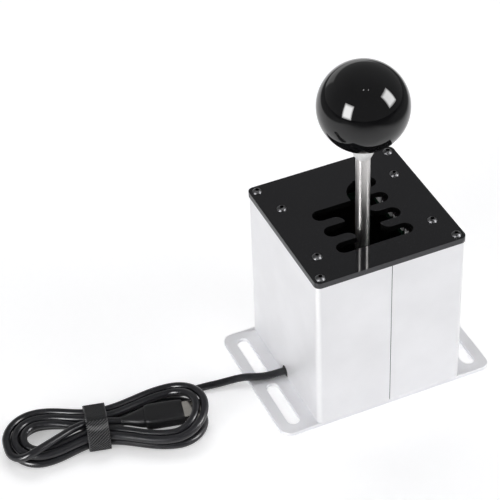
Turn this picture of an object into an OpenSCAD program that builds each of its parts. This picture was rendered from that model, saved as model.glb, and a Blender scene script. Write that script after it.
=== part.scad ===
// H-pattern gear shifter for a racing simulator: a box-shaped aluminium housing on a slotted base plate,
// a gate plate with seven positions, a lever on a two-axis pivot, and a USB cable folded into a hank.
// Origin: centre of the base plate's underside. +Z up, front face with the seam towards -Y,
// cable exit in the left face towards -X.

/* [Base plate] */
// Width of the base plate, flanges included
base_w = 132; // [120:1:160]
// Thickness of the base plate
base_t = 2.5; // [2:0.5:5]
// Corner radius of the base plate
base_r = 6; // [2:0.5:9]
// Width of a mounting slot
slot_w = 7.4; // [5:0.1:9]
// Length of a mounting slot, end to end
slot_l = 35; // [20:1:38]
// Distance from the middle of the plate to a row of slots
slot_x = 56; // [54:0.5:58]
// Distance between the centres of the two slots on one side
slot_pitch = 42.2; // [40:0.1:50]

/* [Housing] */
// Width of the housing
body_w = 90; // [86:1:94]
// Depth of the housing
body_d = 90; // [86:1:100]
// Height of the housing's walls
body_h = 101.5; // [95:0.5:130]
// Wall thickness of the extrusions
wall_t = 2; // [1.5:0.1:3]
// Outer corner radius of the extrusions
body_r = 3; // [1:0.5:5]
// Outer diameter of a screw channel
channel_d = 7; // [6.5:0.1:9]
// Gap of the seam between the two halves
seam_gap = 0.3; // [0.1:0.1:0.6]
// Width of the tongue behind the seam
tongue_w = 5; // [3:0.5:8]
// Thickness of the tongue behind the seam
tongue_t = 1.2; // [0.8:0.1:2]

/* [Gate plate] */
// Thickness of the gate plate
plate_t = 3.5; // [2.5:0.5:6]
// Overhang of the gate plate past the walls
plate_over = 0.5; // [0:0.1:1]
// Corner radius of the gate plate
plate_r = 3.5; // [1:0.5:6]
// Inset of the corner screws from the walls' outer faces
screw_inset = 4; // [4:0.1:5]
// Distance from the lever of the front inner screws
inner_screw_front = 15.5; // [14:0.5:17]
// Distance from the lever of the rear inner screws
inner_screw_back = 30; // [28:0.5:32]

/* [Gate] */
// Width of a gate lane
lane_w = 9; // [8.8:0.1:9.6]
// Distance between neighbouring lanes
lane_pitch = 15; // [14.5:0.1:16]
// Reach of a lane from the middle of the gate to its round end
lane_reach = 23; // [22.6:0.1:24]
// Half width of the channel that joins the lanes
channel_half = 8.3; // [6:0.1:9]
// Large radius on one corner of each finger
finger_r = 5; // [3:0.1:6]
// Small radius on the other corner of each finger
finger_small_r = 0.8; // [0.3:0.1:1]
// Radius of the sweep that leads into the reverse lane
reverse_r = 12.5; // [9:0.5:13]
// Distance from the middle to the wall beside the reverse lane
reverse_wall_x = 2.4; // [1:0.1:4]
// Distance from the middle to the tip of the finger beside the reverse lane
reverse_tip_x = 10.7; // [9:0.1:14]

/* [Lever] */
// Diameter of the lever rod
rod_d = 8; // [7:0.1:8]
// Height of the pivot above the base plate's underside
pivot_z = 25; // [24:0.5:30]
// Diameter of the ball knob
knob_d = 50; // [40:1:55]
// Height of the ball's centre above the base plate's underside
knob_z = 186; // [170:1:200]
// Diameter of the collar under the knob
collar_d = 12.7; // [12:0.1:16]
// Diameter at the collar's narrow end
collar_small_d = 9; // [8.6:0.1:10]
// Height of the collar's cone
collar_cone_h = 4; // [2:0.5:8]
// Height of the collar's upper part that shows below the knob
collar_ring_h = 5; // [2:0.5:10]
// Diameter of the threaded insert in the knob
insert_d = 12; // [10:0.5:12]
// Length of the threaded insert
insert_l = 18; // [12:1:20]

/* [Pivot] */
// Side of the square hub on the lever's foot
hub_w = 16; // [14:0.5:16]
// Height of the hub's square part below and above the pivot
hub_half_h = 9; // [7:0.5:10]
// Diameter of the hub's neck
hub_neck_d = 14; // [12:0.5:14]
// Height of the hub's neck
hub_neck_h = 14; // [12:1:16]
// Diameter of the shift axle
axle_d = 6; // [5:0.5:7]
// Thickness of the yoke
yoke_h = 10; // [9:0.5:11]
// Wall of the yoke at its sides
yoke_wall = 5; // [4:0.5:6]
// Corner radius of the yoke
yoke_r = 3; // [1:0.5:4]
// Diameter of the yoke's trunnions
trunnion_d = 8; // [7:0.5:8]
// Distance from the middle to a bracket's inner face
bracket_x = 23; // [22.5:0.5:25]
// Thickness of a pivot bracket
bracket_t = 3; // [2.5:0.5:3.5]
// Width of a pivot bracket
bracket_w = 14; // [13:0.5:15]
// Outer diameter of a trunnion bush
bush_d = 11; // [10:0.5:11]
// Flange diameter of a trunnion bush
bush_flange_d = 13; // [12.5:0.5:14]
// Flange thickness of a trunnion bush
bush_flange_t = 1; // [0.8:0.1:1.2]
// Wire diameter of a centring spring
spring_wire = 1.1; // [0.8:0.1:1.2]
// Turns of a centring spring
spring_turns = 3; // [2:1:3]
// Thickness of a friction washer
washer_t = 0.9; // [0.6:0.1:1.2]
// Outer diameter of a friction washer
washer_d = 12; // [10:0.5:12]

/* [Switches] */
// Length of a microswitch
switch_l = 12.8; // [12:0.1:13]
// Depth of a microswitch, from its button face to its back
switch_depth = 6.5; // [5:0.1:7]
// Thickness of a microswitch
switch_t = 5.8; // [5:0.1:6]
// Thickness of a switch blade
blade_t = 0.3; // [0.2:0.05:0.4]
// Height of a switch blade
blade_h = 3.6; // [3:0.1:4]
// Height of a standoff under the gate plate
standoff_h = 8; // [7:0.5:10]
// Width of a standoff across its flats
standoff_af = 5; // [4.5:0.5:5]
// Thickness of the switch board
board_t = 1.6; // [1.2:0.1:2]
// Depth of the board in front of the lever
board_front = 24; // [23:0.5:25]
// Depth of the board behind the lever
board_back = 38; // [37:0.5:40]

/* [Cable] */
// Diameter of the USB cable
cable_d = 4.4; // [4:0.1:4.6]
// Height of the cable's centre where it leaves the housing
exit_z = 5.5; // [5.3:0.1:6]
// Half width of the grommet's arch
grommet_half = 3.3; // [3.2:0.1:4]
// Thickness of the grommet's flange, inside the wall
grommet_flange_t = 1.2; // [0.8:0.1:1.5]
// How far the flange stands past the arch
grommet_lip = 1.4; // [1:0.1:2]

/* [Hank] */
// Half width of the outer loop at the right lobe
lobe_right_r = 22; // [21.8:0.1:23]
// Half width of the outer loop at the left lobe
lobe_left_r = 18.5; // [18.4:0.1:20]
// Distance from the tie to the middle of the right lobe
lobe_right = 43; // [42:0.5:45]
// Distance from the tie to the middle of the left lobe
lobe_left = 32; // [31:0.5:34]
// Half width of the outer loop at the tie
waist_half = 11.3; // [11.2:0.1:11.6]
// Step from one loop to the next
loop_step = 4.9; // [4.85:0.05:4.95]
// Height from one layer to the next
layer_step = 4.95; // [4.9:0.05:5.2]
// Width of the hook-and-loop tie
tie_w = 12; // [10:0.5:12]
// Thickness of the tie
tie_t = 1.2; // [0.8:0.1:1.4]

/* [Plug] */
// Length of the plug's moulded body
plug_l = 22; // [20:0.5:22]
// Width of the plug's moulded body
plug_w = 15.5; // [14:0.5:15.5]
// Thickness of the plug's moulded body
plug_t = 8; // [7:0.1:8]
// Length of the metal shell
shell_l = 12; // [11:0.1:12]
// Width of the metal shell
shell_w = 12; // [11.5:0.1:12.2]
// Thickness of the metal shell
shell_t = 4.5; // [4.3:0.1:4.5]

/* [Fasteners] */
// Thread diameter of the plate and board screws
screw_d = 3; // [2.5:0.1:3]
// Head diameter of a plate screw
head_d = 5.7; // [5.2:0.1:6]
// Head height of a plate screw
head_h = 1.65; // [1.4:0.05:2]
// Hex socket of a plate screw, across its flats
socket_af = 2; // [1.5:0.1:2.5]
// Thread diameter of the bracket screws
bracket_screw_d = 3; // [2.5:0.1:3]
// Head diameter of a bracket screw
bracket_head_d = 5.7; // [5.2:0.1:5.8]
// Head height of a bracket screw
bracket_head_h = 1.65; // [1.4:0.05:2]

/* [Hidden] */

// Overrun of every cut, and the clearances that the fits share
over = 1;
clear = 0.1;
fit_gap = 0.05;
rest_gap = 0.3;
fine = 48;
soft_fine = 24;
half = 0.5;
mid_angle = 90;
full_turn = 360;
hex = 6;
socket_share = 0.4;

// The base plate ends flush with the housing's front and back
base_d = body_d;

// Heights of the stack
wall_z = base_t;
plate_z = wall_z + body_h;
top_z = plate_z + plate_t;

// The lever stands in the middle of the three forward lanes
lever_y = -9;
lane_ys = [lever_y + 2 * lane_pitch, lever_y + lane_pitch, lever_y, lever_y - lane_pitch];
lane_r = lane_w / 2;
fin_half = (lane_pitch - lane_w) / 2;

// Screw places on the gate plate
corner_x = body_w / 2 - screw_inset;
corner_y = body_d / 2 - screw_inset;
corners = [[-corner_x, -corner_y], [corner_x, -corner_y], [corner_x, corner_y], [-corner_x, corner_y]];
thread_d = screw_d + clear;
plate_hole_d = screw_d + 2 * clear;
corner_screw_l = plate_t + 4 * screw_d;
sink_d = 2 * screw_d;
sink_h = screw_d / 2;
base_screw_l = 3 * screw_d;

// The yoke, its window and its trunnions
hub_gap = 2.5;
yoke_in_x = hub_w / 2 + hub_gap;
yoke_in_y = hub_w / 2 + washer_t + 2 * fit_gap;
yoke_end = 5.5;
yoke_out_x = yoke_in_x + yoke_end;
yoke_out_y = yoke_in_y + yoke_wall;
trunnion_end = bracket_x + bracket_t + rest_gap;
foot_t = bracket_t;
bracket_screw_y = (bracket_w - bracket_head_d) / 2 - rest_gap;
axle_head_d = 10;
axle_head_h = 5;
axle_socket_af = 5;
axle_socket_h = 2.5;
axle_nut_af = 10;
axle_nut_h = 5;
axle_tail = 1.5;
axle_l = 2 * yoke_out_y + axle_nut_h + axle_tail;
rod_seat = 5;
rod_z = pivot_z + rod_seat;
hub_top = pivot_z + hub_half_h + hub_neck_h;
set_screw_z = hub_top - hub_neck_h / 2;
set_screw_d = 4;

// The spring goes round the trunnion between the yoke and the bush
spring_rings = 8;
spring_r = (trunnion_d / 2 + rest_gap + spring_wire / 2) / cos(half * full_turn / spring_rings);
spring_from = yoke_out_x + rest_gap + spring_wire / 2;
spring_to = bracket_x - bush_flange_t - rest_gap - spring_wire / 2;
spring_leg = 9;

// Knob, collar and insert share one axis with the rod
knob_flat_r = 7.5;
knob_flat_z = knob_z - sqrt(pow(knob_d / 2, 2) - pow(knob_flat_r, 2));
collar_z = knob_flat_z - collar_ring_h - collar_cone_h;
insert_gap = 0.5;
rod_top = knob_flat_z + insert_l - insert_gap;

// The board hangs on four standoffs; the switches stand on it just past the rod's reach
board_z = plate_z - standoff_h - board_t;
board_gap = 0.5;
board_half_w = body_w / 2 - wall_t - board_gap;
switch_z = board_z + board_t;
switch_arm = switch_z + switch_t - pivot_z;
lane_play = 1.1;
shift_angle = atan((lane_reach - rod_d / 2 - lane_play) / (plate_z + plate_t / 2 - pivot_z));
rod_reach = (switch_arm * tan(shift_angle) + rod_d / 2) / cos(shift_angle) + rest_gap;
blade_x = rod_reach;
blade_gap = 0.8;
switch_face = blade_x + blade_t + blade_gap;
switch_back = switch_face + switch_depth;
// The inner screws stand halfway between the backs of the switches and the walls
screw_margin = 2.4;
inner_screw_x = (switch_back + body_w / 2 - wall_t - screw_margin) / 2;
inner_places = [for (sx = [-1, 1], y = [lever_y - inner_screw_front, lever_y + inner_screw_back])
    [sx * inner_screw_x, y]];
switch_share = (switch_z + switch_t / 2 - pivot_z) / (plate_z + plate_t / 2 - pivot_z);
switch_ys = [for (y = lane_ys) lever_y + (y - lever_y) * switch_share];
blade_share = 0.85;
blade_l = switch_l * blade_share;
pin_d = 2;
pin_share = 0.6;
board_screw_share = 0.4;
window_x = blade_x - blade_t;
window_margin = 1.5;
window_back = 2 * lane_pitch * switch_share + rod_d / 2 + window_margin;
window_front = lane_pitch * switch_share + rod_d / 2 + window_margin;
window_r = 3;
chip_w = 10;
chip_t = 1.6;
chip_x = (window_x + board_half_w) / 2;
connector_x = -chip_x;
connector_y = 1;
connector_w = 8;
connector_l = 12;
connector_t = 6;

// Cable exit and route. The route's points are round numbers; its ends are tied to what they meet.
grommet_arch = grommet_half - clear;
grommet_in_x = body_w / 2 - wall_t - grommet_flange_t;
grommet_out_x = body_w / 2;
cable_r = cable_d / 2;
floor_gap = 0.1;
clamp_w = 6;
clamp_t = 1.2;
clamp_x = grommet_in_x - rest_gap - clamp_w / 2;
clamp_screw_y = cable_r + rest_gap + clamp_t + head_d / 2 + rest_gap;
// The brackets' feet end just short of the clamp
bracket_foot = clamp_x - clamp_w / 2 - rest_gap - bracket_x - bracket_t;
bracket_screw_x = bracket_x + bracket_t + bracket_foot / 2;
lead_inside = [[-32, 1, 78], [-31.8, 1, 70], [-30.5, 1, 60], [-28.5, 1, 48], [-28, 1, 36], [-28, 1, 24],
    [-28, 1, 14.5], [-28.7, 1, 11.1], [-30.6, 0.8, 8.1], [-33.6, 0.3, 6.2], [-37, 0, 5.5]];
lead_outside = [[-52, 0.5, 5.2], [-57, 1.5, 4.9], [-62, 3.2, 4.9], [-67, 5.4, 4.8], [-72, 7.4, 4],
    [-77, 8.9, 3], [-83, 10, 2.4], [-90, 11, 2.3], [-97, 11.6, 2.3]];

// The hank: its place, and the loops from one formula in its own frame, with the tie at the middle
hank_place = [-160, 2.4, 0];
hank_turn = -13;
loop_rings = 24;
loop_sides = 6;
cable_sides = 8;
loops = 4.375;
start_share = 0.125;
quarter_share = 0.25;
reverse_at = 2.09;
reverse_soft = 0.0375;
climb_from = 2.04;
climb_turns = 0.18;
tie_gap = 0.6;
waist_lift = tie_t + tie_gap;
waist_power = 6;
plug_power = 4;
plug_z = 9.2;
plug_clear = 0.8;
plug_lift = plug_z + shell_t / 2 + plug_clear - floor_gap - layer_step;
plug_pull = 2;
plug_x = 27;
relief_l = 8;
relief_d = 6.4;
shell_wall = 0.4;
shell_window = 2;
contact_t = 1.8;
tie_lap_t = 0.9;
tie_lap_z = 5;

function smooth(v) = let (c = max(0, min(1, v))) c * c * (3 - 2 * c);
function inward(s) = let (d = abs(s - reverse_at))
    reverse_at - (d < reverse_soft ? d * d / (2 * reverse_soft) + reverse_soft / 2 : d);
// One point of the loops after s turns: a round lobe at each end and runs drawn in at the waist
function loop_point(s) =
    let (
        phase = s + start_share - floor(s + start_share),
        k = inward(s),
        side = cos(full_turn * phase) >= 0 ? 1 : -1,
        hand = phase < half ? 1 : -1,
        quarter = quarter_share,
        fold = phase < quarter ? phase : phase < half ? half - phase
            : phase < half + quarter ? phase - half : 1 - phase,
        r = (side > 0 ? lobe_right_r : lobe_left_r) - loop_step * k,
        w = waist_half - loop_step * k,
        lobe = side > 0 ? lobe_right : lobe_left,
        on_arc = fold < quarter / 2,
        a = fold / quarter * 2 * mid_angle,
        u = 1 - (fold - quarter / 2) / (quarter / 2),
        x = on_arc ? lobe + r * cos(a) : lobe * u,
        y = on_arc ? r * sin(a) : w + (r - w) * (1 - cos(2 * mid_angle * u)) / 2,
        up = smooth((s - climb_from) / climb_turns),
        bump = pow(max(0, cos(full_turn * phase)), plug_power)
    )
    [side * x - up * plug_pull * bump, hand * y, cable_r + floor_gap + up * layer_step
        + waist_lift * pow(sin(full_turn * phase), waist_power) + up * plug_lift * bump];

loop_run = [for (i = [0 : loops * loop_rings]) loop_point(i / loop_rings)];
loop_last = loop_run[len(loop_run) - 1];
// The first and last stretches run straight; the tail goes on from the left end, over the loops to the tie
hank_start = loop_run[0] + [cable_d, 0, 0];
hank_end = loop_last - [0, cable_d / 4, 0];
hank_path = concat([hank_start], loop_run, [hank_end]);
tail_route = [[-50.2, -9.3, 7.2], [-46.6, -14.2, 7.9], [-42, -16.3, 9.9], [-37, -15.9, 12],
    [-30.3, -12.7, 12.6], [-26.4, -10.6, 12.7], [-21.3, -7.7, 12.8], [-16, -4.6, 12.8], [-11.4, -2.4, 12.7],
    [-8.3, -1.1, 12.4], [-4.4, 0.2, 11.7], [0.7, 0.6, 11.4], [4.8, 0.5, 10.8], [10.6, 0.2, 9.8]];
tied_points = [10 : 12];
tail_end = [plug_x - relief_l, 0, plug_z];
tail_path = concat([hank_end, loop_last - [0, cable_d / 2, 0]], tail_route,
    [tail_end - [cable_d, 0, 0], tail_end]);

function place(p) = hank_place + [p.x * cos(hank_turn) - p.y * sin(hank_turn),
    p.x * sin(hank_turn) + p.y * cos(hank_turn), p.z];
function flat_run(d) = [d * cos(hank_turn), d * sin(hank_turn), 0];
lead_end = place(hank_start);
lead_start = [connector_x, connector_y, board_z - connector_t];
lead_path = concat([lead_start, lead_start - [0, 0, cable_d]], lead_inside,
    [for (x = [-grommet_in_x + cable_d / 4, -grommet_out_x, -grommet_out_x - cable_d / 2]) [x, 0, exit_z]],
    lead_outside, [lead_end + flat_run(cable_d), lead_end]);

// Where the strands and the tail pass under the edges of the tie
tie_share = tie_w / 2 / lobe_left * quarter_share / 2;
tie_points = concat([for (i = [0 : 2 * (loops - quarter_share / 2)], e = [-1, 0, 1])
    loop_point(quarter_share / 2 + i / 2 + e * tie_share)], [for (i = tied_points) tail_route[i]]);

function unit(v) = v / norm(v);
function tangent(p, i) = unit(p[min(i + 1, len(p) - 1)] - p[max(i - 1, 0)]);
function run_length(p, i = 0) = i >= len(p) - 1 ? 0 : norm(p[i + 1] - p[i]) + run_length(p, i + 1);
// Least gap between points of a path that lie at least skip points apart along it
function self_gap(p, skip) = min([for (i = [0 : len(p) - 1 - skip], j = [i + skip : len(p) - 1])
    norm(p[i] - p[j])]) - cable_d;
measure_rings = 72;
fine_loops = [for (i = [0 : loops * measure_rings]) loop_point(i / measure_rings)];
echo(hank_self_gap = self_gap(fine_loops, measure_rings * quarter_share));
echo(lead_length = run_length(lead_path), tail_length = run_length(tail_path));
echo(hank_length = run_length(hank_path));

// A tube through the points of a path, with rings square to it
module tube(path, r, sides, across) {
    rings = [for (i = [0 : len(path) - 1])
        let (t = tangent(path, i), n = unit(cross(t, across)), b = cross(t, n))
        for (j = [0 : sides - 1])
            path[i] + r * (cos(j * full_turn / sides) * n + sin(j * full_turn / sides) * b)];
    skins = [for (i = [0 : len(path) - 2], j = [0 : sides - 1])
        let (a = i * sides + j, c = i * sides + (j + 1) % sides)
        each [[a, c, a + sides], [c, c + sides, a + sides]]];
    last = (len(path) - 1) * sides;
    ends = [[for (j = [sides - 1 : -1 : 0]) j], [for (j = [0 : sides - 1]) last + j]];
    polyhedron(rings, concat(skins, ends));
}

module rounded(size_x, size_y, r) {
    square([size_x - 2 * r, size_y], center = true);
    square([size_x, size_y - 2 * r], center = true);
    for (sx = [-1, 1], sy = [-1, 1])
        translate([sx * (size_x / 2 - r), sy * (size_y / 2 - r)]) circle(r, $fn = fine);
}

module slot(length, width) {
    square([length - width, width], center = true);
    for (s = [-1, 1]) translate([s * (length - width) / 2, 0]) circle(d = width, $fn = fine);
}

// Fills the corner of a cut at the origin, so that the plate's corner there gets the radius r
module round_off(r, sx, sy) {
    scale([sx, sy]) difference() {
        translate([-over / 2, -over / 2]) square(r + over / 2);
        translate([r, r]) circle(r, $fn = fine);
        translate([-over, r]) square([over, over]);
    }
}

// A button-head screw with a hex socket, head up, its seat at the origin
module button_screw(d, dk, k, length, af) {
    difference() {
        union() {
            intersection() {
                cylinder(d = dk, h = k, $fn = fine);
                translate([0, 0, k - (dk * dk / 4 + k * k) / (2 * k)])
                    sphere((dk * dk / 4 + k * k) / (2 * k), $fn = fine);
            }
            translate([0, 0, -length]) cylinder(d = d, h = length + k / 4, $fn = fine);
        }
        translate([0, 0, k * socket_share]) cylinder(d = af / cos(mid_angle / 3), h = k + over, $fn = hex);
    }
}

module base_plate() {
    color("gainsboro") difference() {
        linear_extrude(base_t) rounded(base_w, base_d, base_r);
        for (sx = [-1, 1], sy = [-1, 1])
            translate([sx * slot_x, sy * slot_pitch / 2, -over]) rotate(mid_angle)
                linear_extrude(base_t + 2 * over) slot(slot_l, slot_w);
        for (c = corners) translate([c.x, c.y, 0]) {
            translate([0, 0, -over]) cylinder(d = plate_hole_d, h = base_t + 2 * over, $fn = fine);
            translate([0, 0, -clear])
                cylinder(d1 = sink_d + 4 * clear, d2 = plate_hole_d, h = sink_h + 2 * clear, $fn = fine);
        }
        for (sx = [-1, 1], sy = [-1, 1])
            translate([sx * bracket_screw_x, lever_y + sy * bracket_screw_y, -over])
                cylinder(d = bracket_screw_d + clear, h = base_t + 2 * over, $fn = fine);
        translate([-clamp_x, clamp_screw_y, -over]) cylinder(d = thread_d, h = base_t + 2 * over, $fn = fine);
    }
}

// One extruded half in section: a U with a screw channel in each corner
module half_section(side) {
    difference() {
        union() {
            difference() {
                rounded(body_w, body_d, body_r);
                rounded(body_w - 2 * wall_t, body_d - 2 * wall_t, body_r - wall_t * half);
            }
            intersection() {
                rounded(body_w, body_d, body_r);
                for (c = corners) translate(c) {
                    circle(d = channel_d, $fn = fine);
                    translate([sign(c.x) * channel_d / 4, sign(c.y) * channel_d / 4])
                        square(channel_d / 2, center = true);
                }
            }
        }
        for (c = corners) translate(c) circle(d = thread_d, $fn = fine);
        translate([side > 0 ? -body_w : -seam_gap / 2, -body_d])
            square([side > 0 ? body_w + seam_gap / 2 : body_w + seam_gap, 2 * body_d]);
    }
}

module housing_left() {
    color("silver") difference() {
        translate([0, 0, wall_z]) linear_extrude(body_h) union() {
            half_section(-1);
            for (s = [-1, 1])
                translate([0, s * (body_d / 2 - wall_t - rest_gap - tongue_t / 2)])
                    square([tongue_w, tongue_t], center = true);
            for (s = [-1, 1])
                translate([-(tongue_w + seam_gap) / 4, s * (body_d / 2 - wall_t - rest_gap / 2)])
                    square([(tongue_w - seam_gap) / 2, rest_gap + tongue_t / 4], center = true);
        }
        translate([-body_w / 2 - over, 0, exit_z]) rotate([0, mid_angle, 0])
            cylinder(r = grommet_half, h = wall_t + 2 * over, $fn = fine);
        translate([-body_w / 2 - over, -grommet_half, wall_z - over])
            cube([wall_t + 2 * over, 2 * grommet_half, exit_z - wall_z + over]);
    }
}

module housing_right() {
    color("silver") translate([0, 0, wall_z]) linear_extrude(body_h) half_section(1);
}

module base_screws() {
    color("dimgray") for (c = corners) translate([c.x, c.y, 0]) difference() {
        union() {
            cylinder(d1 = sink_d, d2 = screw_d, h = sink_h, $fn = fine);
            cylinder(d = screw_d, h = base_screw_l, $fn = fine);
        }
        translate([0, 0, -over])
            cylinder(d = socket_af / cos(mid_angle / 3), h = over + sink_h * half, $fn = hex);
    }
}

// The gate in plan: three lanes across, a channel between them, and the reverse lane on the right
module gate_shape() {
    for (i = [1 : 3]) translate([0, lane_ys[i]]) slot(2 * lane_reach, lane_w);
    translate([-channel_half, lane_ys[3]]) square([2 * channel_half, lane_ys[1] - lane_ys[3]]);
    translate([(lane_reach - lane_r + reverse_tip_x) / 2, lane_ys[0]])
        square([lane_reach - lane_r - reverse_tip_x, lane_w], center = true);
    translate([lane_reach - lane_r, lane_ys[0]]) circle(lane_r, $fn = fine);
    intersection() {
        translate([reverse_wall_x, lane_ys[1]])
            square([reverse_tip_x - reverse_wall_x + over, lane_pitch + lane_r]);
        union() {
            translate([reverse_wall_x + reverse_r, lane_ys[0] + lane_r - reverse_r])
                circle(reverse_r, $fn = 2 * fine);
            translate([reverse_wall_x, lane_ys[1]]) square([reverse_r, lane_pitch + lane_r - reverse_r]);
        }
    }
    // Finger tips: left ones round at the back, right ones round at the front
    for (i = [1 : 2]) translate([0, (lane_ys[i] + lane_ys[i + 1]) / 2]) {
        translate([-channel_half, fin_half]) round_off(finger_r, -1, -1);
        translate([-channel_half, -fin_half]) round_off(finger_small_r, -1, 1);
        translate([channel_half, -fin_half]) round_off(finger_r, 1, 1);
        translate([channel_half, fin_half]) round_off(finger_small_r, 1, -1);
    }
    translate([reverse_tip_x, lane_ys[1] + lane_r]) round_off(fin_half, 1, 1);
    translate([reverse_tip_x, lane_ys[0] - lane_r]) round_off(fin_half - clear, 1, -1);
}

module gate_plate() {
    color("#1c1b1f") difference() {
        translate([0, 0, plate_z]) linear_extrude(plate_t)
            rounded(body_w + 2 * plate_over, body_d + 2 * plate_over, plate_r);
        translate([0, 0, plate_z - over]) linear_extrude(plate_t + 2 * over) gate_shape();
        for (c = concat(corners, inner_places)) translate([c.x, c.y, plate_z - over])
            cylinder(d = plate_hole_d, h = plate_t + 2 * over, $fn = fine);
    }
}

module corner_screws() {
    color("#3c3c40") for (c = corners) translate([c.x, c.y, top_z])
        button_screw(screw_d, head_d, head_h, corner_screw_l, socket_af);
}

module inner_screws() {
    color("#3c3c40") for (c = inner_places) translate([c.x, c.y, top_z])
        button_screw(screw_d, head_d, head_h, plate_t + standoff_h * half, socket_af);
}

module standoffs() {
    color("goldenrod") for (c = inner_places) translate([c.x, c.y, plate_z - standoff_h]) difference() {
        rotate(mid_angle) cylinder(d = standoff_af / cos(mid_angle / 3), h = standoff_h, $fn = hex);
        translate([0, 0, -over]) cylinder(d = thread_d, h = standoff_h + 2 * over, $fn = fine);
    }
}

module switch_board() {
    color("darkgreen") translate([0, 0, board_z]) linear_extrude(board_t) difference() {
        translate([0, lever_y + (board_back - board_front) / 2])
            rounded(2 * board_half_w, board_back + board_front, window_r);
        translate([0, lever_y + (window_back - window_front) / 2])
            rounded(2 * window_x, window_back + window_front, window_r);
        for (c = inner_places) translate(c) circle(d = plate_hole_d, $fn = fine);
    }
}

module board_screws() {
    color("silver") for (c = inner_places) translate([c.x, c.y, board_z]) mirror([0, 0, 1])
        button_screw(screw_d, head_d, head_h, board_t + standoff_h * board_screw_share, socket_af);
}

module controller_chip() {
    color("#26262a") translate([chip_x - chip_w / 2, lever_y - chip_w / 2, board_z - chip_t])
        cube([chip_w, chip_w, chip_t]);
}

module board_connector() {
    color("ivory") translate([connector_x - connector_w / 2, connector_y - connector_l / 2, board_z])
        translate([0, 0, -connector_t]) cube([connector_w, connector_l, connector_t]);
}

// A microswitch standing on the board, its button face towards the lever
module microswitch(side, lane) {
    color("#202024") translate([0, switch_ys[lane], switch_z]) scale([side, 1, 1]) difference() {
        translate([switch_face, -switch_l / 2, 0]) cube([switch_depth, switch_l, switch_t]);
        for (s = [-1, 1]) translate([switch_face + switch_depth * pin_share, s * switch_l / 4, -over])
            cylinder(d = pin_d, h = switch_t + 2 * over, $fn = soft_fine);
    }
}

module switch_reverse() microswitch(1, 0);
module switch_first() microswitch(-1, 1);
module switch_second() microswitch(1, 1);
module switch_third() microswitch(-1, 2);
module switch_fourth() microswitch(1, 2);
module switch_fifth() microswitch(-1, 3);
module switch_sixth() microswitch(1, 3);

// Sprung blades, drawn pressed: each is hinged at the back of its switch face and curls at the tip
module switch_blades() {
    color("silver") for (lane = [0 : 3], side = lane == 0 ? [1] : [-1, 1])
        translate([0, switch_ys[lane], switch_z + (switch_t - blade_h) / 2]) scale([side, 1, 1])
            linear_extrude(blade_h) union() {
                translate([blade_x, -blade_l / 2]) square([blade_t, blade_l]);
                translate([blade_x, -blade_l / 2]) square([switch_face - blade_x, blade_t]);
                translate([switch_face - blade_gap * half, blade_l / 4])
                    square([blade_gap, blade_gap], center = true);
            }
}

// An L-shaped bracket with a round head about the trunnion, its foot turned outwards
module bracket(side) {
    color("lightslategray") scale([side, 1, 1]) difference() {
        union() {
            translate([bracket_x, lever_y, wall_z]) {
                translate([0, -bracket_w / 2, 0]) cube([bracket_t, bracket_w, pivot_z - wall_z]);
                translate([0, 0, pivot_z - wall_z]) rotate([0, mid_angle, 0])
                    cylinder(d = bracket_w, h = bracket_t, $fn = fine);
                translate([0, -bracket_w / 2, 0]) cube([bracket_t + bracket_foot, bracket_w, foot_t]);
            }
        }
        translate([bracket_x - over, lever_y, pivot_z]) rotate([0, mid_angle, 0])
            cylinder(d = bush_d + 2 * fit_gap, h = bracket_t + 2 * over, $fn = fine);
        for (s = [-1, 1]) translate([bracket_screw_x, lever_y + s * bracket_screw_y, wall_z - over])
            cylinder(d = bracket_screw_d + 2 * clear, h = foot_t + 2 * over, $fn = fine);
    }
}

module bracket_left() bracket(-1);
module bracket_right() bracket(1);

module bracket_screws() {
    color("silver") for (sx = [-1, 1], sy = [-1, 1])
        translate([sx * bracket_screw_x, lever_y + sy * bracket_screw_y, wall_z + foot_t])
            button_screw(bracket_screw_d, bracket_head_d, bracket_head_h, foot_t + base_t - clear, socket_af);
}

module bush(side) {
    color("#b08d57") scale([side, 1, 1]) translate([bracket_x - bush_flange_t, lever_y, pivot_z])
        rotate([0, mid_angle, 0]) difference() {
            union() {
                cylinder(d = bush_flange_d, h = bush_flange_t, $fn = fine);
                cylinder(d = bush_d, h = bush_flange_t + bracket_t, $fn = fine);
            }
            translate([0, 0, -over])
                cylinder(d = trunnion_d + 2 * fit_gap, h = bush_flange_t + bracket_t + 2 * over, $fn = fine);
        }
}

module bush_left() bush(-1);
module bush_right() bush(1);

// Torsion springs round the trunnions, each wound as one wire with a straight leg at either end
module centring_springs() {
    rings = spring_turns * spring_rings;
    coil = [for (i = [0 : rings]) let (a = i * full_turn / spring_rings, s = i / rings)
        [spring_from + (spring_to - spring_from) * s, spring_r * cos(a), spring_r * sin(a)]];
    path = concat([coil[0] + [0, 0, -spring_leg]], coil, [coil[rings] + [0, 0, spring_leg]]);
    color("lightgray") for (s = [-1, 1])
        translate([0, lever_y, pivot_z]) mirror([s > 0 ? 0 : 1, 0, 0])
            tube(path, spring_wire / 2, loop_sides, [1, 0, 0]);
}

module select_yoke() {
    color("slategray") difference() {
        union() {
            translate([0, lever_y, pivot_z - yoke_h / 2]) linear_extrude(yoke_h) difference() {
                rounded(2 * yoke_out_x, 2 * yoke_out_y, yoke_r);
                square([2 * yoke_in_x, 2 * yoke_in_y], center = true);
            }
            for (s = [-1, 1]) translate([s * (yoke_out_x - yoke_end * half), lever_y, pivot_z])
                rotate([0, s * mid_angle, 0])
                    cylinder(d = trunnion_d, h = trunnion_end - yoke_out_x + yoke_end * half, $fn = fine);
        }
        translate([0, lever_y + yoke_out_y + over, pivot_z]) rotate([mid_angle, 0, 0])
            cylinder(d = axle_d + 2 * fit_gap, h = 2 * yoke_out_y + 2 * over, $fn = fine);
    }
}

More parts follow.
